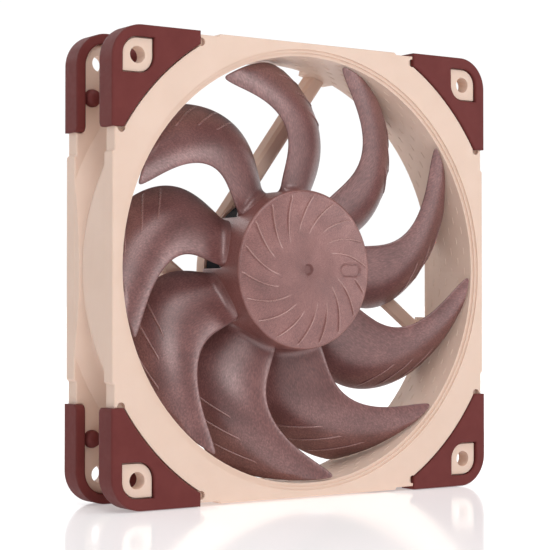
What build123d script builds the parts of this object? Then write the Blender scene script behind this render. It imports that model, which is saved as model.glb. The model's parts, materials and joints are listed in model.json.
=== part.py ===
"""Case fan, 120 x 120 x 25 mm, nine forward-swept blades, four struts, eight corner pads.

Units are millimetres.  X runs to the right, Y from the intake face to the outlet face,
Z up.  The origin is the middle of the frame, on the impeller's axis, which is Y.
"""
from build123d import *
import math
import os

# ---- frame ---------------------------------------------------------------------------
SIZE = 120.0             # over the pads
DEPTH = 25.0             # over the pads
FRAME_SIDE = 119.4       # over the plain middle of each flange side
FRAME_FACE = 12.1        # flange faces stand this far from the middle
FLANGE_BACK = 7.7        # inner faces of both flanges
HOLE_SPACING = 105.0
HOLE_D = 4.3
BORE_R = 56.3
INLET_STEPS = ((58.0, 0.5), (57.2, 1.05))     # radius and depth of the two inlet steps
OUTLET_START = 7.4       # from here on back the bore opens out
OUTLET_R = 62.0          # of that opening at the outlet face
OUTLET_FLAT = 58.5       # its flats beside the four sides, from the middle
OUTLET_BLOCK = (14.7, 23.5)   # the bore stays straight here, degrees past each strut's direction
STEP_START = 28.8        # flange sides step in from here to the pad
STEP_DEPTH = 0.6
PAD_START = 34.5         # pads begin this far from the middle of a side
EDGE_R = 0.4             # rounding of the flange edges
WAIST_R = 59.0           # duct outside, narrowest
DUCT_REAR_R = 63.5
DUCT_FRONT_R = 64.5

# ---- corner pads ---------------------------------------------------------------------
PAD_WALL = 2.5
PAD_PLATE = 1.6
PAD_SKIRT_END = 5.9      # the skirt reaches this far from the middle, past the flange
PAD_CORNER_R = 8.5
PAD_ARC_R = 66.3
PAD_ARC_GAP = 0.35       # between the pad's inner edge and its seat
NICK_R = 1.1             # round relief at each end of a pad's inner edge
NICK_IN = 0.3            # the relief's middle lies this far inside the pad's edge
NICK_OUT = 0.6           # and this far past the corner of its inner edge
BOSS_SIDE = 8.3
BOSS_R = 4.0
BOSS_FACE = 11.7
BOSS_GAP = 0.38
PEG_FAR = 54.8
PEG_NEAR = 43.4
PEG_D = 3.0
PEG_HEAD_D = 4.6
PEG_HEAD_L = 2.4
PEG_GAP = 0.1            # radial, in its hole
PAD_END_R = 1.6          # rounding of the skirt's free ends
PAD_EDGE_R = 0.3         # rounding of the pad's face

# ---- struts and motor base -----------------------------------------------------------
STRUT_ANGLE = 53.2       # direction of the first strut, degrees above X
STRUT_FRONT_Y = 8.6
STRUT_FRONT = (16.0, 20.5)    # inner and outer distance from the axis at its front edge
STRUT_REAR = (17.6, 21.0)     # the same at its rear edge
BASE_R = 20.6
BASE_FRONT = 8.4
BASE_FLOOR = 10.1
BASE_TRAY_R = 19.3
LABEL_R = 18.6
LABEL_T = 0.2
POST_R = 15.2            # three posts under the circuit board
POST_D = 2.6
STRUT_BEVEL = (0.7, 0.9)      # of the strut's front edges: depth and width
STRUT_BITE = 1.2         # the strut runs this far into the duct wall
LEAD_GROOVE = (1.5, 2.0)      # width and depth, along the back of the first strut

# ---- impeller ------------------------------------------------------------------------
BLADES = 9
TIP_R = 55.8
HUB_R = 21.2
HUB_IN_R = 20.2
HUB_CENTRE_Y = -11.2
HUB_RIM_Y = -9.6
HUB_EDGE_R = 0.9
HUB_CEILING_Y = -8.2
HUB_REAR_Y = 7.9
HUB_RIDGES = 18
RIDGE_H = 0.22
RIDGE_LENGTH = 11.8      # measured along the radius
RIDGE_START = 1.2        # from the hub's edge
RIDGE_SWEEP = 30.0       # degrees from its outer to its inner end
RIDGE_W = (0.60, 0.28)   # outer and inner width
DIMPLE_R = 1.0
DIMPLE_CENTRE = 0.55     # in front of the hub's face
POCKET_AT = 16.0
POCKET = (6.4, 2.6, 1.45)     # length, width, depth below the middle of the dome
BLADE_T_ROOT = 2.3
BLADE_T_TIP = 1.3
BLADE_CAMBER = 0.09      # of the chord
# radius, leading edge angle and depth, trailing edge angle and depth
STATIONS = (
    (21.0, 137.5, -2.0, 103.0, 4.5),
    (31.5, 133.5, -4.3, 101.3, 6.9),
    (42.0, 140.0, -7.1, 109.0, 6.1),
    (49.0, 150.5, -9.0, 118.5, 5.0),
    (55.8, 158.7, -11.0, 130.0, 4.5),
)

# ---- rotor and bearing ---------------------------------------------------------------
CUP_T = 1.0
CUP_HOLE_R = 2.6
CUP_REAR_Y = 7.6
MAGNET_IN_R = 17.4
MAGNET_Y = (-5.5, 6.5)
SHAFT_R = 1.5
SHAFT_Y = (-8.0, 8.4)
BUSH_R = 3.6
BUSH_END_Y = -4.2
SHAFT_NECK = 0.35        # depth of the clip's groove
TUBE_R = 4.6
TUBE_IN_R = 3.75
TUBE_FRONT_Y = -3.2
SLEEVE_CLEARANCE = 0.03
SLEEVE_Y = (-2.2, 6.2)
CLIP_Y = (6.9, 7.3)
CLIP_R = 2.7
THRUST_Y = (8.7, 9.7)
CAP_R = 3.9
CAP_T = 1.0
CAP_GAP = 0.1            # between the cap and the label

# ---- stator --------------------------------------------------------------------------
POLES = 4
CORE_R = 16.8
CORE_NECK_W = 4.6
CORE_Y = (-2.6, 3.6)
INSULATOR_T = 0.8
COIL_BULGE = 1.9
COIL_START = 8.0         # from the axis
COIL_END = 13.3
CORE_HUB_R = 7.2
SHOE_T = 2.2
SHOE_GAP = 2.4
INSULATOR_EDGE = 0.35    # the insulators overhang the core by this
INSULATOR_COLLAR = (5.4, 6.4, 1.5)     # inner and outer radius, height
BOARD_R = 19.0
BOARD_Y = (8.5, 9.5)
PAD_LAND_R = 0.75        # solder pads
PAD_LAND_T = 0.25
# angle about the axis, distance from it, and width of each small part on the board
PASSIVES = (
    (100, 12, 1.0),
    (118, 13, 1.2),
    (150, 14, 1.0),
    (255, 12, 1.2),
    (285, 14, 1.0),
    (330, 12, 1.2),
)

CUT = 1.0                # shapes that cut run at least this far past a face
FAR = 62.0               # past the outside of the frame


def on_y(y):
    """Drawing plane at depth y: local x is X, local y is Z."""
    return Plane(origin=(0, y, 0), x_dir=(1, 0, 0), z_dir=(0, -1, 0))


def slab(sketch, y0, y1):
    """Extrude a flat sketch between two depths."""
    return extrude(on_y(y1) * sketch, amount=y1 - y0)


def ring(r_in, r_out, y0, y1):
    """Round ring, or a disc when r_in is zero."""
    disc = slab(Circle(r_out), y0, y1)
    if r_in <= 0:
        return disc
    return disc - slab(Circle(r_in), y0 - CUT, y1 + CUT)


def turned(points):
    """Revolve a closed outline given as (radius, y) about the fan's axis."""
    return revolve(make_face(Polyline(*points, close=True)), axis=Axis.Y)


def spun(shape, degrees):
    """Turn a shape about the fan's axis, counter-clockwise as seen from the front."""
    return Rot(0, -degrees, 0) * shape


def corners():
    """Signs of the four corners with the names used for the pads."""
    return (
        (-1, 1, "top_left"),
        (1, 1, "top_right"),
        (-1, -1, "bottom_left"),
        (1, -1, "bottom_right"),
    )


def all_corners(patch):
    """The same flat patch in all four corners."""
    return [Rot(0, 0, 90 * k) * patch for k in range(4)]


def leaf(side):
    """Square with two rounded corners on one diagonal, drawn for the top right corner."""
    radius = BOSS_R + (side - BOSS_SIDE) / 2
    square = Rectangle(side, side)
    diagonal = [v for v in square.vertices() if v.X * v.Y > 0]
    return fillet(diagonal, radius)


def corner_box(inner, outer):
    """Square patch covering one corner of the frame, between two distances from the middle."""
    side = outer - inner
    middle = (outer + inner) / 2
    return Pos(middle, middle) * Rectangle(side, side)


def flange_outline():
    """Outline of a flange: plain sides, small steps beside the pads, set-back corners."""
    inner = SIZE - 2 * PAD_WALL
    shape = RectangleRounded(inner, inner, PAD_CORNER_R - PAD_WALL)
    stepped = FRAME_SIDE - 2 * STEP_DEPTH
    shape += Rectangle(2 * PAD_START, stepped)
    shape += Rectangle(stepped, 2 * PAD_START)
    half = FRAME_SIDE / 2
    low = half - STEP_DEPTH
    bump = Polygon(
        (-STEP_START, low - 2),
        (STEP_START, low - 2),
        (STEP_START, low),
        (STEP_START - STEP_DEPTH, half),
        (-STEP_START + STEP_DEPTH, half),
        (-STEP_START, low),
        align=None,
    )
    for k in range(4):
        shape += Rot(0, 0, 90 * k) * bump
    return shape


def duct():
    """Waisted duct wall between the flanges, trimmed to the square of the frame."""
    profile = (
        (BORE_R - 2, -FLANGE_BACK - 0.5),
        (DUCT_FRONT_R, -FLANGE_BACK - 0.5),
        (DUCT_FRONT_R, -FLANGE_BACK),
        (WAIST_R + 0.6, 3.3),
        (WAIST_R, 3.9),
        (WAIST_R, 4.9),
        (WAIST_R + 0.6, 5.4),
        (DUCT_REAR_R, FLANGE_BACK),
        (DUCT_REAR_R, FLANGE_BACK + 0.5),
        (BORE_R - 2, FLANGE_BACK + 0.5),
    )
    side = FRAME_SIDE - 0.2
    return turned(profile) & slab(Rectangle(side, side), -FRAME_FACE, FRAME_FACE)


def pad_seats(face):
    """Material removed from one flange face for the four pad plates, and the bosses left."""
    y0, y1 = sorted((face * (DEPTH / 2 - PAD_PLATE), face * (DEPTH / 2 + CUT)))
    seat = corner_box(PAD_START, SIZE / 2 + CUT) - Circle(PAD_ARC_R - PAD_ARC_GAP)
    boss = Pos(HOLE_SPACING / 2, HOLE_SPACING / 2) * leaf(BOSS_SIDE)
    cuts = None
    b0, b1 = sorted((face * (DEPTH / 2 - PAD_PLATE - 0.5), face * BOSS_FACE))
    bosses = None
    for k in range(4):
        cut = spun(slab(seat, y0, y1), 90 * k)
        rise = spun(slab(boss, b0, b1), 90 * k)
        cuts = cut if cuts is None else cuts + cut
        bosses = rise if bosses is None else bosses + rise
    return cuts, bosses


def strut():
    """One strut: a leaning bar from the motor base to the duct wall, drawn along X."""
    in_front, out_front = STRUT_FRONT
    in_rear, out_rear = STRUT_REAR
    down, across = STRUT_BEVEL
    section = Plane.YZ * Polygon(
        (STRUT_FRONT_Y + down, in_front),
        (STRUT_FRONT_Y, in_front + across),
        (STRUT_FRONT_Y, out_front - across),
        (STRUT_FRONT_Y + down, out_front),
        (FRAME_FACE, out_rear),
        (FRAME_FACE, in_rear),
        align=None,
    )
    bar = extrude(section, amount=FAR, dir=(1, 0, 0))
    reach = ring(0, BORE_R + STRUT_BITE, STRUT_FRONT_Y - CUT, FRAME_FACE)
    return spun(bar & reach, STRUT_ANGLE)


def strutted_base():
    """Four struts and the round tray that carries the motor, with a label recess on its back."""
    base = ring(0, BASE_R, BASE_FRONT, FRAME_FACE)
    for k in range(4):
        base += spun(strut(), 90 * k)
    base -= ring(0, BASE_TRAY_R, BASE_FRONT - CUT, BASE_FLOOR)
    base -= ring(0, LABEL_R, FRAME_FACE - LABEL_T, FRAME_FACE + CUT)
    base -= ring(0, TUBE_R, BASE_FLOOR - CUT, FRAME_FACE + CUT)
    for k in range(3):
        post = Pos(POST_R, 0) * Circle(POST_D / 2)
        base += spun(slab(post, BOARD_Y[1], BASE_FLOOR + 0.3), 120 * k + 20)
    return base


def lead_channel():
    """Groove for the leads along the back of the first strut and through the frame side."""
    width, depth = LEAD_GROOVE
    middle = (STRUT_REAR[0] + STRUT_REAR[1]) / 2
    start = LABEL_R - 6
    end = SIZE / 2 + 10
    groove = Pos((start + end) / 2, middle) * Rectangle(end - start, width)
    return spun(slab(groove, FRAME_FACE - depth, FRAME_FACE + CUT), STRUT_ANGLE)


def flange(face):
    """One square flange with rounded edges; face is -1 at the front, 1 at the rear."""
    y0, y1 = sorted((face * FRAME_FACE, face * FLANGE_BACK))
    plate = slab(flange_outline(), y0, y1)
    upright = plate.edges().filter_by(Axis.Y)
    return fillet(plate.edges() - upright, EDGE_R)


def outlet_flare():
    """Cut that opens the bore towards the outlet face, except behind the ends of the struts."""
    y0, y1 = OUTLET_START, FRAME_FACE
    inner = BORE_R - CUT
    past = y1 + CUT
    cone = turned(((inner, y0), (BORE_R, y0), (OUTLET_R, y1), (OUTLET_R, past), (inner, past)))
    flare = cone & slab(Rectangle(2 * OUTLET_FLAT, 2 * OUTLET_FLAT), y0, past)
    corners_of_block = [(0, 0)]
    for degrees in OUTLET_BLOCK:
        turn = math.radians(degrees)
        corners_of_block.append((2 * SIZE * math.cos(turn), 2 * SIZE * math.sin(turn)))
    block = slab(Polygon(*corners_of_block, align=None), y0 - CUT, past + CUT)
    return flare - [spun(block, STRUT_ANGLE + 90 * k) for k in range(4)]


def make_frame():
    """The one-piece frame: two flanges, duct, four struts and the motor base."""
    body = flange(-1) + flange(1) + duct()
    body -= ring(0, BORE_R, -FRAME_FACE - CUT, FRAME_FACE + CUT)
    for radius, depth in INLET_STEPS:
        body -= ring(0, radius, -FRAME_FACE - CUT, -FRAME_FACE + depth)
    body -= outlet_flare()
    for face in (-1, 1):
        cuts, bosses = pad_seats(face)
        body -= cuts
        body += bosses
    body += strutted_base()
    body -= lead_channel()
    hole = Pos(HOLE_SPACING / 2, HOLE_SPACING / 2) * Circle(HOLE_D / 2)
    nick_far = math.sqrt(PAD_ARC_R**2 - PAD_START**2) + NICK_OUT
    nick_near = PAD_START - NICK_IN
    past = DEPTH / 2 + CUT
    seat_y = DEPTH / 2 - PAD_PLATE
    through = [hole]
    shallow = []
    for x, z in ((PEG_FAR, PEG_NEAR), (PEG_NEAR, PEG_FAR)):
        through.append(Pos(x, z) * Circle(PEG_D / 2 + PEG_GAP))
    for x, z in ((nick_far, nick_near), (nick_near, nick_far)):
        shallow.append(Pos(x, z) * Circle(NICK_R))
    for patch in through:
        body -= [slab(p, -past, past) for p in all_corners(patch)]
    for patch in shallow:
        body -= [slab(p, -past, -seat_y) for p in all_corners(patch)]
        body -= [slab(p, seat_y, past) for p in all_corners(patch)]
    return body


def edges_at(body, y):
    """Edges that lie at one depth."""
    return body.edges().filter_by_position(Axis.Y, y - 0.01, y + 0.01)


def make_pad(face, x, z):
    """Soft corner pad: face plate, skirt round the flange edge and two mushroom pegs."""
    outer = RectangleRounded(SIZE, SIZE, PAD_CORNER_R)
    inner_side = SIZE - 2 * PAD_WALL
    inner = RectangleRounded(inner_side, inner_side, PAD_CORNER_R - PAD_WALL)
    patch = corner_box(PAD_START, SIZE)
    window = Pos(HOLE_SPACING / 2, HOLE_SPACING / 2) * leaf(BOSS_SIDE + 2 * BOSS_GAP)
    plate = (outer & patch) - Circle(PAD_ARC_R) - window
    skirt = (outer & patch) - inner
    floor = DEPTH / 2 - PAD_PLATE
    body = slab(plate, -DEPTH / 2, -floor)
    body += slab(skirt, -DEPTH / 2, -PAD_SKIRT_END)
    ends = edges_at(body, -PAD_SKIRT_END).filter_by(GeomType.LINE)
    body = fillet([e for e in ends if e.length < PAD_WALL + 0.1], PAD_END_R)
    body = fillet(edges_at(body, -DEPTH / 2), PAD_EDGE_R)
    head = turned_peg()
    for px, pz in ((PEG_FAR, PEG_NEAR), (PEG_NEAR, PEG_FAR)):
        body += Pos(px, 0, pz) * head
    if x < 0:
        body = mirror(body, about=Plane.YZ)
    if z < 0:
        body = mirror(body, about=Plane.XY)
    if face > 0:
        body = mirror(body, about=Plane.XZ)
    return body


def turned_peg():
    """Mushroom peg through the front flange."""
    floor = DEPTH / 2 - PAD_PLATE
    tip = -FLANGE_BACK + PEG_HEAD_L
    head = PEG_HEAD_D / 2
    profile = (
        (0, -floor - 0.4),
        (PEG_D / 2, -floor - 0.4),
        (PEG_D / 2, -FLANGE_BACK),
        (head, -FLANGE_BACK),
        (head, -FLANGE_BACK + 0.6),
        (head * 0.85, tip - 0.8),
        (head * 0.5, tip - 0.2),
        (0, tip),
    )
    return turned(profile)


def station_value(radius, column):
    """Smooth curve through the blade stations (Lagrange polynomial in the radius)."""
    total = 0.0
    for i, here in enumerate(STATIONS):
        weight = here[column]
        for j, other in enumerate(STATIONS):
            if j != i:
                weight *= (radius - other[0]) / (here[0] - other[0])
        total += weight
    return total


def blade_edges(radius):
    """Leading and trailing edge angle and depth, carried on straight past the tip."""
    values = []
    inside = min(max(radius, 20.0), TIP_R)
    for column in (1, 2, 3, 4):
        value = station_value(inside, column)
        slope = station_value(inside, column) - station_value(inside - 1.0, column)
        values.append(value + slope * (radius - inside) * 0.6)
    return values


def blade_point(radius, part, side):
    """Point on a blade: part runs 0 at the trailing to 1 at the leading edge, side -1..1."""
    lead, lead_y, trail, trail_y = blade_edges(radius)
    angle = trail + (lead - trail) * part
    chord_arc = math.radians(lead - trail) * radius
    rise = trail_y - lead_y
    chord = math.hypot(chord_arc, rise)
    arch = 4 * part * (1 - part) * BLADE_CAMBER * chord
    share = (radius - HUB_R) / (TIP_R - HUB_R)
    thick = BLADE_T_ROOT + (BLADE_T_TIP - BLADE_T_ROOT) * max(0.0, min(1.0, share))
    offset = arch + side * thick / 2
    y = trail_y - rise * part - offset * chord_arc / chord
    angle += math.degrees(-offset * rise / chord / radius)
    return angle, y


def blade_section(distance):
    """Closed outline of a blade on the flat plane at a distance along the blade's middle."""
    lead, _, trail, _ = blade_edges(distance)
    middle = (lead + trail) / 2
    count = 16
    points = []
    for i in range(count):
        turn = 2 * math.pi * i / count
        part = 0.5 - 0.5 * math.cos(turn)
        swell = abs(math.sin(turn)) ** 0.7
        side = math.copysign(swell, math.sin(turn))
        radius = distance
        for _ in range(12):
            angle, y = blade_point(radius, part, side)
            radius = distance / math.cos(math.radians(angle - middle))
        angle = math.radians(angle)
        points.append(Vector(radius * math.cos(angle), y, radius * math.sin(angle)))
    half = count // 2
    front = Edge.make_spline(points[: half + 1])
    back = Edge.make_spline(points[half:] + points[:1])
    return Wire([front, back])


def make_blade():
    """One blade, trimmed to start inside the hub wall and to end at the tip radius."""
    distances = [19.0, 26.0, 33.0, 40.0, 46.0, 51.5, 57.0]
    body = Solid.make_loft([blade_section(d) for d in distances])
    return body & ring(HUB_IN_R + 0.4, TIP_R, -DEPTH / 2, DEPTH / 2)


def hub_dome(raise_by):
    """Domed front of the hub as a solid of revolution, raised by a small height."""
    sag = HUB_RIM_Y - HUB_CENTRE_Y
    flat = HUB_R - HUB_EDGE_R
    centre = HUB_CENTRE_Y - raise_by
    rim = HUB_RIM_Y - raise_by
    turn = math.radians(45)
    face = ThreePointArc((0, centre), (flat / 2, centre + sag / 4), (flat, rim))
    shoulder = (flat + HUB_EDGE_R * math.sin(turn), rim + HUB_EDGE_R * (1 - math.cos(turn)))
    edge = ThreePointArc((flat, rim), shoulder, (HUB_R, rim + HUB_EDGE_R))
    back = HUB_CEILING_Y + 1
    sides = Polyline((HUB_R, rim + HUB_EDGE_R), (HUB_R, back), (0, back), (0, centre))
    return revolve(make_face([face, edge, sides]), axis=Axis.Y)


def hub_ridges():
    """Thin spiral ridges on the hub face, cut to follow the dome."""
    raised = hub_dome(RIDGE_H)
    ridges = []
    steps = 5
    for k in range(HUB_RIDGES):
        start = 360 / HUB_RIDGES * k + 0.5
        one_side = []
        other_side = []
        for i in range(steps + 1):
            share = i / steps
            r = HUB_R - RIDGE_START - RIDGE_LENGTH * share
            a = math.radians(start + RIDGE_SWEEP * share)
            half = (RIDGE_W[0] + (RIDGE_W[1] - RIDGE_W[0]) * share) / 2
            da = half / r
            one_side.append((r * math.cos(a - da), r * math.sin(a - da)))
            other_side.append((r * math.cos(a + da), r * math.sin(a + da)))
        strip = make_face(Polyline(*one_side, *reversed(other_side), close=True))
        ridges.append(slab(strip, HUB_CENTRE_Y - CUT, HUB_CEILING_Y) & raised)
    return ridges


def hub_window(k):
    """Cut in the hub skirt behind one blade, open to the rear, that bares the steel cup."""
    lead, _, trail, _ = blade_edges(HUB_R)
    middle = (lead + trail) / 2
    past = HUB_REAR_Y + 0.5
    points = []
    for angle, y in ((lead + 1, -0.4), (lead + 2.3, past), (trail + 2.5, past), (trail + 2.5, 6.6)):
        points.append((-HUB_R * math.sin(math.radians(angle - middle)), y))
    side_on = Plane(origin=(HUB_R - 6, 0, 0), x_dir=(0, 0, -1), z_dir=(1, 0, 0))
    outline = side_on * Polygon(*points, align=None)
    return spun(extrude(outline, amount=10), middle + 360 / BLADES * k)


def make_impeller():
    """Hub shell with its dome, ridges, pocket and skirt windows, and nine blades."""
    shell = hub_dome(0.0)
    shell += ring(0, HUB_R, HUB_CEILING_Y, HUB_REAR_Y)
    shell -= ring(0, HUB_IN_R, HUB_CEILING_Y, HUB_REAR_Y + CUT)
    shell -= [hub_window(k) for k in range(BLADES)]
    blade = make_blade()
    shell = shell.fuse(*[spun(blade, 360 / BLADES * k) for k in range(BLADES)])
    shell -= Pos(0, HUB_CENTRE_Y - DIMPLE_CENTRE, 0) * Sphere(DIMPLE_R)
    length, width, depth = POCKET
    pocket = Pos(POCKET_AT, 0) * SlotOverall(length, width)
    shell -= slab(pocket, HUB_CENTRE_Y - CUT, HUB_CENTRE_Y + depth)
    return shell.fuse(*hub_ridges())


def make_rotor_cup():
    """Steel cup inside the hub that carries the magnet."""
    cup = ring(0, HUB_IN_R, HUB_CEILING_Y, CUP_REAR_Y)
    cup -= ring(0, HUB_IN_R - CUP_T, HUB_CEILING_Y + CUP_T, CUP_REAR_Y + CUT)
    cup -= ring(0, CUP_HOLE_R, HUB_CEILING_Y - CUT, HUB_CEILING_Y + CUP_T + CUT)
    return cup


def make_magnet():
    """Ring magnet on the inside of the cup."""
    return ring(MAGNET_IN_R, HUB_IN_R - CUP_T, *MAGNET_Y)


def make_bush():
    """Brass bush that joins the shaft to the cup."""
    bush = ring(0, CUP_HOLE_R, HUB_CEILING_Y, HUB_CEILING_Y + CUP_T)
    bush += ring(0, BUSH_R, HUB_CEILING_Y + CUP_T, BUSH_END_Y)
    return bush - ring(0, SHAFT_R, HUB_CEILING_Y - CUT, BUSH_END_Y + CUT)


def make_shaft():
    """Steel shaft with a clip groove and a rounded end."""
    front, rear = SHAFT_Y
    profile = (
        (0, front),
        (SHAFT_R - 0.2, front),
        (SHAFT_R, front + 0.2),
        (SHAFT_R, CLIP_Y[0]),
        (SHAFT_R - SHAFT_NECK, CLIP_Y[0]),
        (SHAFT_R - SHAFT_NECK, CLIP_Y[1]),
        (SHAFT_R, CLIP_Y[1]),
        (SHAFT_R, rear - 0.6),
        (SHAFT_R * 0.8, rear - 0.2),
        (SHAFT_R * 0.4, rear),
        (0, rear),
    )
    return turned(profile)


def make_clip():
    """Split retaining washer in the shaft's groove."""
    clip = ring(SHAFT_R - SHAFT_NECK, CLIP_R, *CLIP_Y)
    slot = Pos(2, 0) * Rectangle(2.4, 0.8)
    return clip - slab(slot, CLIP_Y[0] - CUT, CLIP_Y[1] + CUT)


def make_bearing_tube():
    """Brass tube pressed into the motor base."""
    rear = FRAME_FACE - LABEL_T
    tube = ring(0, TUBE_R, TUBE_FRONT_Y, rear)
    step = rear - CAP_GAP - CAP_T
    tube -= ring(0, TUBE_IN_R, TUBE_FRONT_Y - CUT, THRUST_Y[1])
    tube -= ring(0, 2.4, THRUST_Y[1] - CUT, step)
    return tube - ring(0, CAP_R, step, rear + CUT)


def make_sleeve():
    """Sintered sleeve bearing."""
    sleeve = ring(SHAFT_R + SLEEVE_CLEARANCE, TUBE_IN_R, *SLEEVE_Y)
    bore = [e for e in sleeve.edges().filter_by(GeomType.CIRCLE) if e.radius < SHAFT_R + 0.1]
    return chamfer(bore, 0.25)


def make_oil_ring():
    """Ring in the mouth of the tube that keeps the oil in."""
    return ring(SHAFT_R + 0.35, TUBE_IN_R, TUBE_FRONT_Y + 0.1, SLEEVE_Y[0])


def make_thrust_pad():
    """Wear pad at the closed end of the tube."""
    return ring(0, TUBE_IN_R, *THRUST_Y)


def make_bearing_cap():
    """Plug in the back of the tube, under the label."""
    rear = FRAME_FACE - LABEL_T - CAP_GAP
    return ring(0, CAP_R, rear - CAP_T, rear)


def core_sketch(grow):
    """Four-pole core outline; grow moves the bore and necks outward for the insulators."""
    shape = Circle(CORE_HUB_R + grow)
    shoe = Circle(CORE_R - grow * 0.6) - Circle(CORE_R - SHOE_T - grow)
    for k in range(POLES):
        gap = Pos(CORE_R - 1, 0) * Rectangle(8, SHOE_GAP + grow)
        shoe -= Rot(0, 0, 45 + 90 * k) * gap
    neck = Rectangle(2 * (CORE_R - 1), CORE_NECK_W + 2 * grow)
    shape += neck
    shape += Rot(0, 0, 90) * neck
    return (shape & Circle(CORE_R - 1.5)) + shoe - Circle(TUBE_R)


def make_core():
    """Laminated stator core, as one stack."""
    return slab(core_sketch(0.0), *CORE_Y)


def make_insulator(front):
    """Plastic insulator on one end of the core."""
    plate = core_sketch(INSULATOR_EDGE)
    inner, outer, height = INSULATOR_COLLAR
    if front:
        y0, y1 = CORE_Y[0] - INSULATOR_T, CORE_Y[0]
        wall = ring(inner, outer, y0 - height, y0)
    else:
        y0, y1 = CORE_Y[1], CORE_Y[1] + INSULATOR_T
        wall = ring(inner, outer, y1, y1 + height)
        for k in range(4):
            post = Pos(6.0, 0) * Rectangle(1.0, 1.4)
            wall += spun(slab(post, y1, BOARD_Y[0]), 45 + 90 * k)
    return slab(plate, y0, y1) + wall


def make_coil(k):
    """One winding: a rounded block round a pole neck and both insulators."""
    inner_w = CORE_NECK_W + 2 * INSULATOR_EDGE
    y0 = CORE_Y[0] - INSULATOR_T
    y1 = CORE_Y[1] + INSULATOR_T
    length = COIL_END - COIL_START
    centre = Pos((COIL_START + COIL_END) / 2, (y0 + y1) / 2, 0)
    outer = centre * Box(length, y1 - y0 + 2 * COIL_BULGE, inner_w + 2 * COIL_BULGE)
    outer = fillet(outer.edges().filter_by(Axis.X), COIL_BULGE * 0.9)
    hole = centre * Box(length + 2 * CUT, y1 - y0, inner_w)
    return spun(outer - hole, 90 * k)


def make_board():
    """Round circuit board in the base's tray."""
    board = ring(TUBE_R + 0.4, BOARD_R, *BOARD_Y)
    notch = Pos(BOARD_R, 0) * Rectangle(3, 3)
    return board - spun(slab(notch, BOARD_Y[0] - CUT, BOARD_Y[1] + CUT), STRUT_ANGLE + 60)


def make_driver():
    """Driver chip body with its legs, on the motor side of the board."""
    y1 = BOARD_Y[0]
    chip = Pos(11.5, y1 - 0.75, 0) * Box(3.2, 1.1, 4.4)
    for side in (-1, 1):
        for i in range(4):
            z = -1.5 + i
            chip += Pos(11.5 + side * 1.9, y1 - 0.25, z) * Box(0.9, 0.5, 0.35)
    return spun(chip, 200)


def make_hall_sensor():
    """Hall sensor, near the magnet's edge."""
    y1 = BOARD_Y[0]
    chip = Pos(15.4, y1 - 0.6, 0) * Box(1.6, 1.0, 2.8)
    for i in (-1, 1):
        chip += Pos(14.4, y1 - 0.15, i) * Box(0.9, 0.3, 0.4)
    return spun(chip, 45)


def make_passives():
    """Small capacitors and resistors round the board."""
    y1 = BOARD_Y[0]
    parts = []
    for angle, r, width in PASSIVES:
        parts.append(spun(Pos(r, y1 - 0.35, 0) * Box(width, 0.7, 1.8), angle))
    return Compound(children=parts)


def make_solder_pads():
    """Tinned pads where leads would be soldered, beside the lead strut."""
    y0 = BOARD_Y[1]
    parts = []
    for k in range(4):
        pad = Pos(16.6, 0) * Circle(PAD_LAND_R)
        parts.append(spun(slab(pad, y0, y0 + PAD_LAND_T), STRUT_ANGLE + 38 + 7 * k))
    return Compound(children=parts)


def make_label():
    """Blank round label on the back of the motor base."""
    return ring(0, LABEL_R - 0.1, FRAME_FACE - LABEL_T, FRAME_FACE)


def save(shape, name):
    """Write one node."""
    export_step(shape, "parts/" + name + ".step")


def main():
    os.makedirs("parts", exist_ok=True)
    save(make_frame(), "frame")
    for face, word in ((-1, "front"), (1, "rear")):
        for x, z, corner in corners():
            save(make_pad(face, x, z), "pad_" + word + "_" + corner)
    save(make_impeller(), "impeller")
    save(make_rotor_cup(), "rotor_cup")
    save(make_magnet(), "rotor_magnet")
    save(make_bush(), "shaft_bush")
    save(make_shaft(), "shaft")
    save(make_clip(), "retaining_clip")
    save(make_bearing_tube(), "bearing_tube")
    save(make_sleeve(), "bearing_sleeve")
    save(make_oil_ring(), "oil_ring")
    save(make_thrust_pad(), "thrust_pad")
    save(make_bearing_cap(), "bearing_cap")
    save(make_core(), "stator_core")
    save(make_insulator(True), "insulator_front")
    save(make_insulator(False), "insulator_rear")
    for k in range(POLES):
        save(make_coil(k), "coil_" + str(k + 1))
    save(make_board(), "circuit_board")
    save(make_driver(), "driver_chip")
    save(make_hall_sensor(), "hall_sensor")
    save(make_passives(), "board_passives")
    save(make_solder_pads(), "solder_pads")
    save(make_label(), "rear_label")


main()
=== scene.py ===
"""Case fan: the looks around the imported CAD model.

Everything is in metres in the CAD frame: X right, Y from the intake face to the outlet
face, Z up, origin in the middle of the frame on the impeller's axis.  Shapes are worked
out in millimetres and scaled once, by MM.
"""

import json
import math

import bmesh
import bpy
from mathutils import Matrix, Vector


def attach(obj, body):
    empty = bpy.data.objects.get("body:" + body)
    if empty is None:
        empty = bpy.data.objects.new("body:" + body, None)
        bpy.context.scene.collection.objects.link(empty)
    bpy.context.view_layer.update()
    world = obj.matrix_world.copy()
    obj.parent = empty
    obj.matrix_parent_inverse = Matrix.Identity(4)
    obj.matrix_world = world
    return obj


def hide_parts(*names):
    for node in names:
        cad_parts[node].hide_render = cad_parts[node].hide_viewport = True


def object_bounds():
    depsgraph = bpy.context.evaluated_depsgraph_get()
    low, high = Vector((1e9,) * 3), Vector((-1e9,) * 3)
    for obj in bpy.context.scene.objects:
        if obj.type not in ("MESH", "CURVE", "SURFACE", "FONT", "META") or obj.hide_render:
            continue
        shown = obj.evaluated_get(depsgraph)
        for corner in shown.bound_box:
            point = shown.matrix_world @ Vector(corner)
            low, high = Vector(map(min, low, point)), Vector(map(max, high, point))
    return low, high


MM = 0.001

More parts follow.
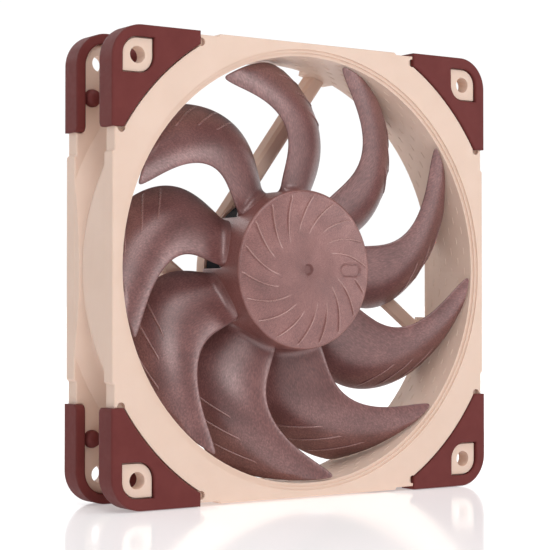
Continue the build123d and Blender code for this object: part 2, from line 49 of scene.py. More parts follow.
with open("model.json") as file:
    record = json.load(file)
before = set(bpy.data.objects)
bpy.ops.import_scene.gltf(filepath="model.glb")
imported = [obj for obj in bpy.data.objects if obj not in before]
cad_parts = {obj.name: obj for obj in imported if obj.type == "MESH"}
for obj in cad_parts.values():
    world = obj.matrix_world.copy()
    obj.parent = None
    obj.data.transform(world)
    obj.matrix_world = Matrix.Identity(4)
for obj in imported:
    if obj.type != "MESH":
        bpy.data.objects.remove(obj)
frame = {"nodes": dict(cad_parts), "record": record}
cad_low, cad_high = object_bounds()

# ---- driving dimensions, as in the CAD model, in millimetres ---------------------------
BLADES = 9
PITCH = 360.0 / BLADES
TIP_R = 55.8
HUB_R = 21.2
HUB_IN_R = 20.25
HUB_CENTRE_Y = -11.2
HUB_RIM_Y = -9.6
HUB_EDGE_R = 0.9
HUB_REAR_Y = 7.9
BORE_R = 56.3
BLADE_T_ROOT = 2.3
BLADE_T_TIP = 1.3
BLADE_CAMBER = 0.09
ROOT_FILLET = 2.2
# radius, leading edge angle and depth, trailing edge angle and depth
STATIONS = (
    (21.0, 137.5, -2.0, 103.0, 4.5),
    (31.5, 133.5, -4.3, 101.3, 6.9),
    (42.0, 140.0, -7.1, 109.0, 6.1),
    (49.0, 150.5, -9.0, 118.5, 5.0),
    (55.8, 158.7, -11.0, 130.0, 4.5),
)


# ---- mesh helpers ----------------------------------------------------------------------
def link_to_scene(obj):
    bpy.context.scene.collection.objects.link(obj)


def add_mesh(name, points, faces, body, material, slot):
    """New smooth mesh object from points in millimetres, riding on a CAD body."""
    mesh = bpy.data.meshes.new(name)
    mesh.from_pydata([Vector(p) * MM for p in points], [], faces)
    mesh.validate()
    mesh.update()
    obj = bpy.data.objects.new(name, mesh)
    link_to_scene(obj)
    obj.data.materials.append(material)
    for polygon in mesh.polygons:
        polygon.use_smooth = True
    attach(obj, body)
    return obj


def fix_normals(obj):
    """Make all faces of a closed mesh point outward."""
    bm = bmesh.new()
    bm.from_mesh(obj.data)
    bmesh.ops.recalc_face_normals(bm, faces=bm.faces)
    bm.to_mesh(obj.data)
    bm.free()


def polar(radius, degrees, y):
    """Point at a radius and angle about the fan's axis, seen from the front."""
    a = math.radians(degrees)
    return (radius * math.cos(a), y, radius * math.sin(a))


def ease(x):
    """Smooth step from 0 to 1."""
    x = min(1.0, max(0.0, x))
    return x * x * (3 - 2 * x)


def tube_faces(first, rings, count):
    """Faces between rings of count points each, numbered from first."""
    faces = []
    for ring in range(rings - 1):
        a = first + ring * count
        b = a + count
        for i in range(count):
            j = (i + 1) % count
            faces.append((a + i, a + j, b + j, b + i))
    return faces


def closed_strip(first, rings, count):
    """Faces of a tube that is capped at both ends."""
    faces = tube_faces(first, rings, count)
    last = first + (rings - 1) * count
    faces.append(tuple(range(first, first + count)))
    faces.append(tuple(reversed(range(last, last + count))))
    return faces


def once_per_blade(points, faces):
    """Points and faces of a shape, repeated round the axis for every blade."""
    all_points = []
    all_faces = []
    for k in range(BLADES):
        start = len(all_points)
        turn = math.radians(PITCH * k)
        c, s = math.cos(turn), math.sin(turn)
        all_points += [(x * c - z * s, y, x * s + z * c) for x, y, z in points]
        all_faces += [tuple(start + i for i in face) for face in faces]
    return all_points, all_faces


# ---- materials -------------------------------------------------------------------------
NOISE_LOW = 0.3          # most of a noise's values lie between these two
NOISE_HIGH = 0.7
GRAIN_DEPTH = 0.0001     # metres, of the fine relief
MOULD_GRAIN_DEPTH = 0.00012
PAD_ROUNDING = 0.0009    # metres, how far the pads' edges are shaded as rounded
STREAK_ROUND = 0.04      # how far apart the streaks are in the noise, round the axis
CLOUD_SHARE = 0.35       # of the impeller's colour that is cloudy rather than streaky
ROUGH_SWING = 0.06       # how far the roughness varies to either side
ON_VECTORS = "ShaderNodeVectorMath"
ON_VALUES = "ShaderNodeMath"


class Paint:
    """Small wrapper to build one node material."""

    def __init__(self, name):
        self.material = bpy.data.materials.new(name)
        self.material.use_nodes = True
        self.tree = self.material.node_tree
        self.shader = self.tree.nodes["Principled BSDF"]
        coords = self.tree.nodes.new("ShaderNodeTexCoord")
        self.place = coords.outputs["Object"]

    def node(self, kind, **inputs):
        """New node with some of its inputs set."""
        made = self.tree.nodes.new(kind)
        for key, value in inputs.items():
            made.inputs[key.replace("_", " ")].default_value = value
        return made

    def link(self, source, target):
        self.tree.links.new(source, target)

    def maths(self, kind, operation, *sources):
        """Maths node of that kind with its first inputs linked."""
        made = self.node(kind)
        made.operation = operation
        for n, source in enumerate(sources):
            self.link(source, made.inputs[n])
        return made

    def noise(self, scale, detail=3.0, rough=0.5, place=None):
        """Cloudy noise, at the surface's own place unless another is given."""
        made = self.node("ShaderNodeTexNoise", Scale=scale, Detail=detail, Roughness=rough)
        self.link(self.place if place is None else place, made.inputs["Vector"])
        return made.outputs["Fac"]

    def ramp(self, source, stops):
        """Colour from a value; stops are pairs of a position and a colour."""
        made = self.tree.nodes.new("ShaderNodeValToRGB")
        line = made.color_ramp
        while len(line.elements) < len(stops):
            line.elements.new(0.5)
        for element, (at, colour) in zip(line.elements, stops):
            element.position = at
            element.color = (*colour, 1.0)
        self.link(source, made.inputs["Fac"])
        return made.outputs["Color"]

    def span(self, source, low, high, out_low, out_high):
        """Value moved from one range to another."""
        made = self.node("ShaderNodeMapRange")
        made.inputs["From Min"].default_value = low
        made.inputs["From Max"].default_value = high
        made.inputs["To Min"].default_value = out_low
        made.inputs["To Max"].default_value = out_high
        self.link(source, made.inputs["Value"])
        return made.outputs["Result"]

    def bump(self, height, strength, distance, rounding=0.0):
        """Relief from a height; rounding also softens the sharp edges by that radius."""
        node = self.node("ShaderNodeBump")
        node.inputs["Strength"].default_value = strength
        node.inputs["Distance"].default_value = distance
        self.link(height, node.inputs["Height"])
        if rounding:
            bevel = self.node("ShaderNodeBevel")
            bevel.samples = 6
            bevel.inputs["Radius"].default_value = rounding
            self.link(bevel.outputs["Normal"], node.inputs["Normal"])
        return node.outputs["Normal"]

    def set(self, **values):
        """Plain numbers and colours on the shader's own sockets."""
        for key, value in values.items():
            self.shader.inputs[key.replace("_", " ")].default_value = value

    def use(self, source, socket):
        """A texture on one of the shader's sockets."""
        self.link(source, self.shader.inputs[socket])

    def two_tone(self, source, low, high):
        """Base colour between two tones."""
        stops = ((NOISE_LOW, low), (NOISE_HIGH, high))
        self.use(self.ramp(source, stops), "Base Color")

    def gloss(self, source, low, high):
        """Uneven roughness between two values."""
        self.use(self.span(source, NOISE_LOW, NOISE_HIGH, low, high), "Roughness")


def frame_plastic():
    """Warm beige moulded plastic: satin, very fine grain, faint uneven gloss."""
    p = Paint("frame_plastic")
    p.two_tone(p.noise(90, 4, 0.55), (0.785, 0.585, 0.475), (0.82, 0.62, 0.51))
    p.gloss(p.noise(900, 2), 0.42, 0.52)
    p.use(p.bump(p.noise(2600, 2, 0.6), 0.10, MOULD_GRAIN_DEPTH), "Normal")
    p.set(Subsurface_Weight=0.08, Subsurface_Scale=0.0012, IOR=1.47, Specular_IOR_Level=0.3)
    p.set(Subsurface_Radius=(1.0, 0.6, 0.4))
    return p.material


def pad_silicone():
    """Dark red-brown silicone rubber, dull, with a slight dusty grain."""
    p = Paint("pad_silicone")
    p.two_tone(p.noise(160, 4, 0.6), (0.14, 0.028, 0.026), (0.165, 0.036, 0.033))
    p.gloss(p.noise(700, 2), 0.5, 0.6)
    grain = p.bump(p.noise(2200, 2, 0.6), 0.12, MOULD_GRAIN_DEPTH, PAD_ROUNDING)
    p.use(grain, "Normal")
    p.set(IOR=1.33, Specular_IOR_Level=0.35)
    return p.material


def flow_noise(p, scale, along):
    """Streaky noise that follows the radius; along is how much longer the streaks are.

    The noise is read at the direction from the axis, shrunk, with the stretched radius
    added along Y.
    """
    flat = p.maths(ON_VECTORS, "MULTIPLY", p.place)
    flat.inputs[1].default_value = (1, 0, 1)
    outward = p.maths(ON_VECTORS, "NORMALIZE", flat.outputs["Vector"])
    near = p.maths(ON_VECTORS, "SCALE", outward.outputs["Vector"])
    near.inputs["Scale"].default_value = STREAK_ROUND
    radius = p.maths(ON_VECTORS, "LENGTH", flat.outputs["Vector"])
    shorter = p.maths(ON_VALUES, "DIVIDE", radius.outputs["Value"])
    shorter.inputs[1].default_value = along
    depth = p.node("ShaderNodeSeparateXYZ")
    p.link(p.place, depth.inputs["Vector"])
    lifted = p.maths(ON_VALUES, "ADD", shorter.outputs["Value"], depth.outputs["Y"])
    lift = p.node("ShaderNodeCombineXYZ")
    p.link(lifted.outputs["Value"], lift.inputs["Y"])
    place = p.maths(ON_VECTORS, "ADD", near.outputs["Vector"], lift.outputs["Vector"])
    return p.noise(scale, 3.0, 0.62, place.outputs["Vector"])


def impeller_plastic(name, dark, middle, light, rough, relief):
    """Red-brown fibre-filled plastic: satin, with fine radial flow streaks."""
    p = Paint(name)
    streak = flow_noise(p, 3000, 2.0)
    cloud = p.noise(120, 3, 0.6)
    mixed = p.node("ShaderNodeMix", Factor=CLOUD_SHARE)
    mixed.data_type = "FLOAT"
    p.link(streak, mixed.inputs["A"])
    p.link(cloud, mixed.inputs["B"])
    stops = ((0.34, dark), (0.5, middle), (0.66, light))
    p.use(p.ramp(mixed.outputs["Result"], stops), "Base Color")
    p.gloss(streak, rough + ROUGH_SWING, rough - ROUGH_SWING)
    p.use(p.bump(streak, relief, GRAIN_DEPTH), "Normal")
    p.set(Metallic=0.15, IOR=1.6, Specular_IOR_Level=0.9)
    return p.material


def black_steel():
    """Black oxide steel."""
    p = Paint("black_steel")
    p.two_tone(p.noise(200, 3), (0.007, 0.007, 0.010), (0.012, 0.012, 0.017))
    p.gloss(p.noise(500, 2), 0.6, 0.7)
    p.use(p.bump(p.noise(900, 2), 0.05, GRAIN_DEPTH), "Normal")
    p.set(Specular_IOR_Level=0.1)
    return p.material


def simple(name, low, high, scale, rough, metallic=0.0, bump=0.08):
    """Two-tone grained material for small inner pieces."""
    p = Paint(name)
    p.two_tone(p.noise(scale, 3), low, high)
    p.gloss(p.noise(scale * 3, 2), rough - ROUGH_SWING, rough + ROUGH_SWING)
    p.use(p.bump(p.noise(scale * 5, 2), bump, GRAIN_DEPTH), "Normal")
    p.set(Metallic=metallic)
    return p.material


def inner_pieces():
    """Materials of the small inner pieces: tones, grain scale, roughness, metal, relief."""
    table = (
        ("magnet_rubber", (0.02, 0.02, 0.02), (0.035, 0.035, 0.035), 400, 0.7),
        ("brass", (0.66, 0.47, 0.2), (0.76, 0.56, 0.27), 300, 0.3, 1.0),
        ("shaft_steel", (0.55, 0.55, 0.57), (0.66, 0.66, 0.68), 600, 0.2, 1.0),
        ("clip_nylon", (0.74, 0.73, 0.68), (0.82, 0.81, 0.76), 300, 0.45),
        ("sintered_bronze", (0.36, 0.24, 0.13), (0.5, 0.35, 0.2), 1500, 0.5, 0.9, 0.3),
        ("black_plastic", (0.02, 0.02, 0.02), (0.035, 0.035, 0.035), 500, 0.45),
        ("lamination_steel", (0.3, 0.3, 0.32), (0.42, 0.42, 0.44), 300, 0.4, 1.0),
        ("insulator_plastic", (0.7, 0.68, 0.62), (0.78, 0.76, 0.7), 300, 0.5),
        ("copper_wire", (0.5, 0.19, 0.07), (0.66, 0.28, 0.11), 700, 0.28, 0.9, 0.3),
        ("board_green", (0.015, 0.10, 0.04), (0.03, 0.15, 0.06), 250, 0.35),
        ("ceramic_tan", (0.4, 0.28, 0.16), (0.5, 0.36, 0.22), 500, 0.5),
        ("solder", (0.6, 0.6, 0.62), (0.72, 0.72, 0.74), 500, 0.25, 1.0),
        ("label_film", (0.62, 0.59, 0.55), (0.7, 0.67, 0.63), 120, 0.4),
    )
    return {row[0]: simple(*row) for row in table}


BLADE_PLASTIC = impeller_plastic(
    "impeller_plastic",
    (0.11, 0.036, 0.033),
    (0.187, 0.070, 0.066),
    (0.30, 0.13, 0.122),
    rough=0.36,
    relief=0.3,
)
HUB_PLASTIC = impeller_plastic(
    "impeller_hub_plastic",
    (0.145, 0.048, 0.042),
    (0.248, 0.092, 0.083),
    (0.385, 0.168, 0.15),
    rough=0.36,
    relief=0.8,
)
# the raised lines are glossier, and their lighter tones are a painted highlight, so that
# they show as thin bright lines
BLADE_LINE_HIGHLIGHT_PLASTIC = impeller_plastic(
    "impeller_rib_highlight_plastic",
    (0.24, 0.11, 0.10),
    (0.32, 0.16, 0.15),
    (0.42, 0.22, 0.21),
    rough=0.28,
    relief=0.2,
)
# painted highlight: these lighter tones stand in for glints along the hub ribs' crests
HUB_RIB_HIGHLIGHT_PLASTIC = impeller_plastic(
    "impeller_hub_rib_highlight_plastic",
    (0.30, 0.145, 0.13),
    (0.40, 0.21, 0.19),
    (0.52, 0.30, 0.28),
    rough=0.26,
    relief=0.2,
)

MATERIALS = {
    "frame_plastic": frame_plastic(),
    "pad_silicone": pad_silicone(),
    "impeller_plastic": BLADE_PLASTIC,
    "black_steel": black_steel(),
    **inner_pieces(),
}


def dress_cad_nodes():
    """Give every CAD node the material of its slot."""
    for part in frame["record"]["subparts"]:
        node = frame["nodes"][part["node"]]
        node.data.materials.clear()
        node.data.materials.append(MATERIALS[part["material_slot"]])


# ---- impeller --------------------------------------------------------------------------
def station_value(radius, column):
    """Smooth curve through the blade stations (Lagrange polynomial in the radius)."""
    total = 0.0
    for i, here in enumerate(STATIONS):
        weight = here[column]
        for j, other in enumerate(STATIONS):
            if j != i:
                weight *= (radius - other[0]) / (here[0] - other[0])
        total += weight
    return total


def blade_edges(radius):
    """Angle and depth of the leading edge, then of the trailing edge."""
    return [station_value(radius, column) for column in (1, 2, 3, 4)]


def corner_loss(radius, rounding):
    """How far a rounded blade corner pulls an edge back at this radius."""
    over = radius - (TIP_R - rounding)
    if over <= 0:
        return 0.0
    return rounding - math.sqrt(max(0.0, rounding * rounding - over * over))


TIP_BEND_WIDTH = 1.7     # the bent rim of the tip, along the radius
TIP_BEND_DROP = 0.95
TIP_BEND_FROM = 0.85     # chord share where the bend begins, and how soon it is full
TIP_BEND_BLEND = 0.35
LEAD_ROUNDING = 1.2
TRAIL_ROUNDING = 1.4


def blade_point(radius, part, side):
    """Angle and depth of a point on a blade.

    part runs 0 at the trailing edge to 1 at the leading edge; side runs -1 (front skin)
    to 1 (rear skin) through the thickness.
    """
    lead, lead_y, trail, trail_y = blade_edges(radius)
    chord_arc = math.radians(lead - trail) * radius
    rise = trail_y - lead_y
    chord = math.hypot(chord_arc, rise)
    low = corner_loss(radius, TRAIL_ROUNDING) / chord
    high = 1 - corner_loss(radius, LEAD_ROUNDING) / chord
    part = low + (high - low) * part
    share = (radius - HUB_R) / (TIP_R - HUB_R)
    thick = BLADE_T_ROOT + (BLADE_T_TIP - BLADE_T_ROOT) * max(0.0, min(1.0, share))
    inward = max(0.0, ROOT_FILLET - max(0.0, radius - HUB_R))
    flare = ROOT_FILLET - math.sqrt(max(0.0, ROOT_FILLET**2 - inward**2))
    offset = 4 * part * (1 - part) * BLADE_CAMBER * chord - side * (thick / 2 + flare)
    bend = max(0.0, radius - (TIP_R - TIP_BEND_WIDTH)) / TIP_BEND_WIDTH
    bend *= TIP_BEND_DROP * ease((TIP_BEND_FROM - part) / TIP_BEND_BLEND)
    y = trail_y - rise * part - offset * chord_arc / chord + bend
    angle = trail + (lead - trail) * part - math.degrees(offset * rise / chord / radius)
    return angle, y


BLADE_BITE = 0.35        # the blade starts this far inside the hub's skirt
AROUND = 72              # points round the blade's section
SECTION_POWER = 0.62
TIP_ROUND = ((0.12, 0.82), (0.03, 0.55), (0.0, 0.2))   # distance from the tip, thickness


def blade_radii():
    """Radii of the blade's rings: close together at the root fillet and at the tip."""
    root = [HUB_R - BLADE_BITE + 0.25 * i for i in range(11)]
    start = root[-1]
    stop = TIP_R - 2.3
    middle = [start + (stop - start) * (i + 1) / 46 for i in range(46)]
    outer = [stop + 0.2 * (i + 1) for i in range(3)]
    tip = [TIP_R - back for back in (TIP_BEND_WIDTH, 1.5, 1.25, 1.0, 0.75, 0.5, 0.3)]
    return sorted(set(round(r, 4) for r in root + middle + outer + tip))


def skin_share(sine):
    """Thickness share of the blade's section, full in the middle and round at the edges."""
    return abs(sine) ** SECTION_POWER


def around_blade(index):
    """Chord share and thickness share of a point going round the blade's section."""
    turn = 2 * math.pi * index / AROUND
    part = 0.5 - 0.5 * math.cos(turn)
    side = math.copysign(skin_share(math.sin(turn)), math.sin(turn))
    return part, side


def blade_mesh():
    """Points and faces of one blade: open inside the hub, with a rounded tip."""
    points = []
    rings = [(r, 1.0) for r in blade_radii()]
    rings += [(TIP_R - back, swell) for back, swell in TIP_ROUND]
    for radius, swell in rings:
        for i in range(AROUND):
            part, side = around_blade(i)
            angle, y = blade_point(radius, part, side * swell)
            points.append(polar(radius, angle, y))
    faces = tube_faces(0, len(rings), AROUND)
    last = (len(rings) - 1) * AROUND
    for i in range(AROUND // 2):
        corners = (i, i + 1, (AROUND - i - 1) % AROUND, (AROUND - i) % AROUND)
        loop = list(dict.fromkeys(last + corner for corner in corners))
        if len(loop) > 2:
            faces.append(tuple(loop))
    return points, faces


# radius at the trailing end and at the inner end, with the chord shares of both ends
BLADE_RIDGES = (
    (41.8, 43.4, 0.05, 0.47),
    (46.0, 47.7, 0.05, 0.45),
    (50.2, 52.2, 0.05, 0.44),
)
RIDGE_STEPS = 24
RIDGE_WIDTH = 0.62
RIDGE_HEIGHT = 0.32
RIDGE_LIFT = 0.88        # share of the height that is along Y
RIDGE_RISE = 6           # how steeply a line rises at one end and falls at the other
RIDGE_FALL = 5
RIDGE_TAPER_POWER = 0.6
RIDGE_CURVE_POWER = 0.8
RIDGE_PROFILE = ((-1.0, -0.25), (-0.55, 0.75), (0.0, 1.0), (0.55, 0.75), (1.0, -0.25))
EDGE_SHARE = 0.12        # of the chord, where the blade thins towards an edge


def ridge_mesh(from_r, to_r, from_part, to_part):
    """A thin raised line on the front skin of a blade, tapering at both ends."""
    points = []
    for i in range(RIDGE_STEPS + 1):
        share = i / RIDGE_STEPS
        swell = 0.0
        if 0 < share < 1:
            swell = min(1.0, RIDGE_RISE * share, RIDGE_FALL * (1 - share))
            swell **= RIDGE_TAPER_POWER
        radius = from_r + (to_r - from_r) * share**RIDGE_CURVE_POWER
        part = from_part + (to_part - from_part) * share
        skin = 1.0
        if not EDGE_SHARE < part < 1 - EDGE_SHARE:
            skin = skin_share(math.sin(math.acos(1 - 2 * part)))
        for across, up in RIDGE_PROFILE:
            r = radius + across * RIDGE_WIDTH / 2
            angle, y = blade_point(r, part, -skin)
            height = up * RIDGE_HEIGHT * swell
            points.append(polar(r, angle, y - height * RIDGE_LIFT))
    return points, closed_strip(0, RIDGE_STEPS + 1, len(RIDGE_PROFILE))


# ---- hub -------------------------------------------------------------------------------
# depth, outer radius and width of the slope, for the two steps of the centre dimple
DIMPLE = ((0.85, 1.65, 0.6), (0.25, 3.4, 1.9))
POCKET_X = 14.3
POCKET_HALF_LENGTH = 3.5
POCKET_HALF_WIDTH = 1.6
POCKET_DEPTH = 0.25
POCKET_WALL = 0.16       # width of its side wall
POCKET_GROOVE = 0.40     # depth and half width of the groove round its edge
POCKET_GROOVE_WIDTH = 0.3
HUB_RIBS = 18
HUB_RIB_STEPS = 40
HUB_RIB_HEIGHT = 0.50
HUB_RIB_WIDTH = 0.66
HUB_RIB_SINK = 0.05      # the ribs' feet lie this far under the face
HUB_RIB_PROFILE = (
    (-1.0, -0.3), (-0.6, 0.6), (-0.2, 1.0), (0.2, 1.0), (0.6, 0.6), (1.0, -0.3),
)
HUB_RIB_START = 0.5      # angle of the first rib at the rim, in degrees
HUB_RIB_SWEEP = 34.0     # how far a rib would turn from the rim in to HUB_RIB_SWEEP_R
HUB_RIB_SWEEP_R = 7.0
HUB_RIB_SWEEP_POWER = 1.15
HUB_RIB_INNER_R = 7.4    # the ribs end between here and this much further out
HUB_RIB_STAGGER = 2.4
HUB_RIB_RISE = 0.08      # shares of a rib's length over which it rises and fades out
HUB_RIB_FADE = 0.55
HUB_RIB_CLEAR = 1.1      # the ribs dive under the face this far from the pocket
HUB_RIB_BLEND = 0.5
HUB_RIB_DIVE = 0.6
HUB_TURNS = 450          # points round each ring of the hub
SKIRT_ROWS = 36
WINDOW_TRAIL = 2.5       # the skirt's windows reach from this many degrees past a blade's
WINDOW_LEAD = 2.0        # trailing edge to this many past its leading edge
WINDOW_GAP = 1.6         # how far a window stays behind the blade, along Y


def hub_depth(radius):
    """Depth of the plain domed hub face, with its rounded rim, at a radius."""
    flat = HUB_R - HUB_EDGE_R
    if radius <= flat:
        return HUB_CENTRE_Y + (HUB_RIM_Y - HUB_CENTRE_Y) * (radius / flat) ** 2
    over = min(1.0, (radius - flat) / HUB_EDGE_R)
    return HUB_RIM_Y + HUB_EDGE_R * (1 - math.sqrt(max(0.0, 1 - over * over)))


def pocket_distance(radius, degrees):
    """Distance of a point on the hub face from the pocket's middle line."""
    x = radius * math.cos(math.radians(degrees)) - POCKET_X
    z = radius * math.sin(math.radians(degrees))
    return math.hypot(max(0.0, abs(x) - (POCKET_HALF_LENGTH - POCKET_HALF_WIDTH)), z)


def hub_face_depth(radius, degrees):
    """Depth of the finished hub face: dome, centre dimple and the small pocket."""
    y = hub_depth(radius)
    for depth, edge, slope in DIMPLE:
        y += depth * ease((edge - radius) / slope)
    past = pocket_distance(radius, degrees) - POCKET_HALF_WIDTH
    y += POCKET_DEPTH * ease(0.5 - past / POCKET_WALL)
    return y + POCKET_GROOVE * ease(1 - abs(past) / POCKET_GROOVE_WIDTH)


def hub_rib_mesh():
    """Thin curved ribs swept over the hub face, low towards the middle."""
    points = []
    faces = []
    rim = HUB_R - HUB_EDGE_R
    for k in range(HUB_RIBS):
        first = len(points)
        inner = HUB_RIB_INNER_R + HUB_RIB_STAGGER * ((k * 7) % 5) / 4
        for i in range(HUB_RIB_STEPS + 1):
            share = i / HUB_RIB_STEPS
            radius = rim - (rim - inner) * share
            inward = (HUB_R - radius) / (HUB_R - HUB_RIB_SWEEP_R)
            swept = HUB_RIB_SWEEP * inward**HUB_RIB_SWEEP_POWER
            middle = HUB_RIB_START + 360 * k / HUB_RIBS + swept
            away = pocket_distance(radius, middle)
            inside = ease((POCKET_HALF_WIDTH + HUB_RIB_CLEAR - away) / HUB_RIB_BLEND)
            swell = ease(share / HUB_RIB_RISE) * ease((1 - share) / HUB_RIB_FADE)
            swell *= 1 - inside
            sink = HUB_RIB_SINK + HUB_RIB_DIVE * inside
            for across, up in HUB_RIB_PROFILE:
                angle = middle + math.degrees(across * HUB_RIB_WIDTH / 2 / radius)
                height = up * HUB_RIB_HEIGHT * swell - sink
                points.append(polar(radius, angle, hub_depth(radius) - height))
        faces += closed_strip(first, HUB_RIB_STEPS + 1, len(HUB_RIB_PROFILE))
    return points, faces


def hub_radii():
    """Radii of the hub face's rings: fine at the dimple, round the pocket and at the rim."""
    radii = [0.02, 0.4, 0.8]
    radii += [1.0 + 0.1 * i for i in range(10)]
    radii += [2.2, 2.6, 3.0, 3.5, 4.2, 5.0, 6.0, 6.6]
    radii += [7.0 + 0.55 * i for i in range(6)]
    radii += [10.2 + 0.3 * i for i in range(28)]
    radii += [18.9, 19.6]
    flat = HUB_R - HUB_EDGE_R
    radii += [flat + HUB_EDGE_R * math.sin(math.radians(90 * i / 8)) for i in range(9)]
    return radii


def hub_quad(ring, t):
    """Face between a ring of the hub and the next one."""
    u = (t + 1) % HUB_TURNS
    a = ring * HUB_TURNS
    b = a + HUB_TURNS
    return (a + t, b + t, b + u, a + u)


def skirt_window(degrees, y):
    """True where the skirt is open behind a blade, baring the steel cup."""
    lead, lead_y, trail, trail_y = blade_edges(HUB_R)
    for k in range(BLADES):
        a = (degrees - PITCH * k) % 360
        if trail + WINDOW_TRAIL < a < lead + WINDOW_LEAD:
            slope = (trail_y - lead_y) * (lead - a) / (lead - trail)
            if y > lead_y + WINDOW_GAP + slope:
                return True
    return False


def hub_mesh():
    """Hub shell: domed face, rounded rim, and the skirt with its windows."""
    step = 360.0 / HUB_TURNS
    points = []
    faces = []
    radii = hub_radii()
    for radius in radii:
        for t in range(HUB_TURNS):
            points.append(polar(radius, step * t, hub_face_depth(radius, step * t)))
    for ring in range(len(radii) - 1):
        faces += [hub_quad(ring, t) for t in range(HUB_TURNS)]
    faces.append(tuple(range(HUB_TURNS)))

    top = HUB_RIM_Y + HUB_EDGE_R
    levels = [top + (HUB_REAR_Y - top) * i / SKIRT_ROWS for i in range(SKIRT_ROWS + 1)]
    for y in levels[1:]:
        points += [polar(HUB_R, step * t, y) for t in range(HUB_TURNS)]
    for row in range(SKIRT_ROWS):
        middle = (levels[row] + levels[row + 1]) / 2
        for t in range(HUB_TURNS):
            if not skirt_window(step * (t + 0.5), middle):
                faces.append(hub_quad(len(radii) - 1 + row, t))
    return points, faces


def build_impeller():
    """Detailed hub and blades that stand for the CAD impeller."""
    slot = "impeller_plastic"
    hub = add_mesh("impeller_hub", *hub_mesh(), "rotor", HUB_PLASTIC, slot)
    wall = hub.modifiers.new("wall", "SOLIDIFY")
    wall.thickness = (HUB_R - HUB_IN_R) * MM
    wall.offset = -1
    add_mesh("hub_ribs", *hub_rib_mesh(), "rotor", HUB_RIB_HIGHLIGHT_PLASTIC, slot)
    points, faces = once_per_blade(*blade_mesh())
    blades = add_mesh("impeller_blades", points, faces, "rotor", BLADE_PLASTIC, slot)
    fix_normals(blades)
    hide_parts("impeller")
    for n, ridge in enumerate(BLADE_RIDGES):
        name = "blade_ridge_%d" % (n + 1)
        points, faces = once_per_blade(*ridge_mesh(*ridge))
        line = add_mesh(name, points, faces, "rotor", BLADE_LINE_HIGHLIGHT_PLASTIC, slot)
        fix_normals(line)


# ---- duct texture ----------------------------------------------------------------------
DASH_ROWS = 6
DASH_FIRST_Y = -8.2
DASH_PITCH = 2.7
DASHES_PER_ROW = 60
DASH_LENGTH = 2.4
DASH_WIDTH = 0.34
DASH_HEIGHT = 0.11
DASH_SINK = 0.05         # the ends lie this far inside the wall
# place along a dash and its swell, and place across it and its height
DASH_ALONG = ((-1, 0.0), (-0.8, 0.8), (-0.4, 1.0), (0.4, 1.0), (0.8, 0.8), (1, 0.0))
DASH_ACROSS = ((-1, -0.3), (-0.5, 1.0), (0.5, 1.0), (1, -0.3))


def build_duct_dashes():
    """Rows of short raised dashes on the duct's inner wall, staggered row by row."""
    points = []
    faces = []
    half = math.degrees(DASH_LENGTH / 2 / BORE_R)
    for row in range(DASH_ROWS):
        middle_y = DASH_FIRST_Y + DASH_PITCH * row
        for n in range(DASHES_PER_ROW):
            middle = 360.0 * (n + 0.5 * (row % 2)) / DASHES_PER_ROW
            start = len(points)
            for share, swell in DASH_ALONG:
                half_width = DASH_WIDTH / 2 * (0.5 + 0.5 * swell)
                for across, up in DASH_ACROSS:
                    r = BORE_R - DASH_HEIGHT * up if swell else BORE_R + DASH_SINK
                    y = middle_y + across * half_width
                    points.append(polar(r, middle + half * share, y))
            faces += closed_strip(start, len(DASH_ALONG), len(DASH_ACROSS))
    plastic = MATERIALS["frame_plastic"]
    add_mesh("duct_dashes", points, faces, "stator", plastic, "frame_plastic")


# ---- stage, in metres ------------------------------------------------------------------
CAMERA_PLACE = (-0.26168, -0.37606, -0.00872)
CAMERA_YAW = 34.49
CAMERA_PITCH = 0.93
CAMERA_LENS = 111.32
SENSOR_WIDTH = 36.0
BACKDROP = (0.566, 0.824, 0.0)   # horizontal direction of the white backdrop
BACKDROP_EDGE = (0.2, 0.7)       # it fades in between these cosines from that direction
HORIZON_LIGHT = 1.03
FRONT_LIGHT = 0.26
SKY_EDGE = (0.22, 0.42)          # sine of the height at which the sky begins and is full
SKY_LIGHT = 0.16
FLOOR_GAP = 0.0002               # metres, under the fan
FLOOR_HALF = 40.0
SQUARE = ((-1, -1), (1, -1), (1, 1), (-1, 1))


def aim(obj, direction):
    """Turn a camera or a light so that it looks along a direction."""
    obj.rotation_mode = "QUATERNION"
    obj.rotation_quaternion = direction.to_track_quat("-Z", "Y")


def build_camera():
    """Camera in front of the fan, to its left and a little below its middle."""
    data = bpy.data.cameras.new("camera")
    data.lens = CAMERA_LENS
    data.sensor_width = SENSOR_WIDTH
    data.clip_start = 0.01
    data.clip_end = 20
    camera = bpy.data.objects.new("camera", data)
    link_to_scene(camera)
    camera.location = CAMERA_PLACE
    yaw = math.radians(CAMERA_YAW)
    pitch = math.radians(CAMERA_PITCH)
    ahead = math.cos(pitch)
    aim(camera, Vector((math.sin(yaw) * ahead, math.cos(yaw) * ahead, math.sin(pitch))))
    bpy.context.scene.camera = camera


def area_light(name, place, size, power):
    """Soft box that faces the middle of the fan."""
    data = bpy.data.lights.new(name, "AREA")
    data.shape = "RECTANGLE"
    data.size, data.size_y = size
    data.energy = power
    light = bpy.data.objects.new(name, data)
    link_to_scene(light)
    light.location = place
    aim(light, -Vector(place))


def soft_sun(name, direction, energy, spread):
    """Even soft light from one side; direction points from the lamp to the fan."""
    data = bpy.data.lights.new(name, "SUN")
    data.energy = energy
    data.angle = math.radians(spread)
    light = bpy.data.objects.new(name, data)
    link_to_scene(light)
    aim(light, Vector(direction))


def smooth_range(tree, source, low, high):
    """Node that goes smoothly between two strengths as source goes from low to high."""
    made = tree.nodes.new("ShaderNodeMapRange")
    made.interpolation_type = "SMOOTHSTEP"
    made.inputs["From Min"].default_value = low
    made.inputs["From Max"].default_value = high
    tree.links.new(source, made.inputs["Value"])
    return made


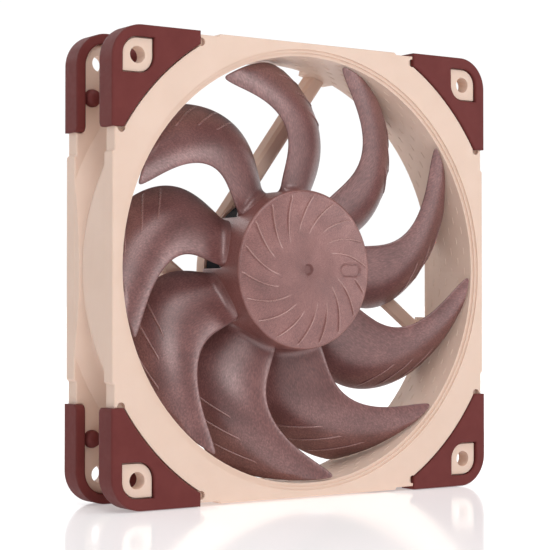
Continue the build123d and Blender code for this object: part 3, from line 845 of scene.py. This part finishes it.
def build_world():
    """White backdrop behind the fan, dimmer surroundings in front of it and overhead."""
    world = bpy.data.worlds.new("studio")
    world.use_nodes = True
    tree = world.node_tree
    background = tree.nodes["Background"]
    coords = tree.nodes.new("ShaderNodeTexCoord")
    towards = tree.nodes.new("ShaderNodeVectorMath")
    towards.operation = "DOT_PRODUCT"
    towards.inputs[1].default_value = BACKDROP
    tree.links.new(coords.outputs["Generated"], towards.inputs[0])
    level = smooth_range(tree, towards.outputs["Value"], *BACKDROP_EDGE)
    level.inputs["To Min"].default_value = FRONT_LIGHT
    level.inputs["To Max"].default_value = HORIZON_LIGHT
    split = tree.nodes.new("ShaderNodeSeparateXYZ")
    tree.links.new(coords.outputs["Generated"], split.inputs["Vector"])
    rise = smooth_range(tree, split.outputs["Z"], *SKY_EDGE)
    tree.links.new(level.outputs["Result"], rise.inputs["To Min"])
    rise.inputs["To Max"].default_value = SKY_LIGHT
    background.inputs["Color"].default_value = (1, 1, 1, 1)
    tree.links.new(rise.outputs["Result"], background.inputs["Strength"])
    bpy.context.scene.world = world


def build_floor():
    """Pale glossy floor just under the fan, with a faint glow of its own."""
    paint = Paint("floor")
    paint.set(Base_Color=(0.93, 0.925, 0.93, 1), Roughness=0.11, IOR=1.33)
    paint.set(Emission_Color=(1, 0.99, 1, 1), Emission_Strength=0.33)
    z = cad_low.z - FLOOR_GAP
    corners = [(x * FLOOR_HALF, y * FLOOR_HALF, z) for x, y in SQUARE]
    mesh = bpy.data.meshes.new("floor")
    mesh.from_pydata(corners, [], [(0, 1, 2, 3)])
    floor = bpy.data.objects.new("floor", mesh)
    floor.data.materials.append(paint.material)
    link_to_scene(floor)


def build_lights():
    """Soft light from above, and soft boxes front right, left, high in front and behind."""
    soft_sun("top", (0.0, 0.30, -1.0), 1.35, 50)
    area_light("front_right", (0.80, -0.70, 0.25), (0.40, 0.40), 2.0)
    area_light("left", (-0.90, -0.22, 0.50), (0.30, 0.30), 0.9)
    area_light("front_high", (-0.26, -0.83, 0.48), (0.38, 0.38), 2.3)
    area_light("behind", (-0.15, 0.9, 0.45), (0.9, 0.5), 2.2)


dress_cad_nodes()
build_impeller()
build_duct_dashes()
build_camera()
build_world()
build_floor()
build_lights()
bpy.context.scene.view_settings.view_transform = "Standard"
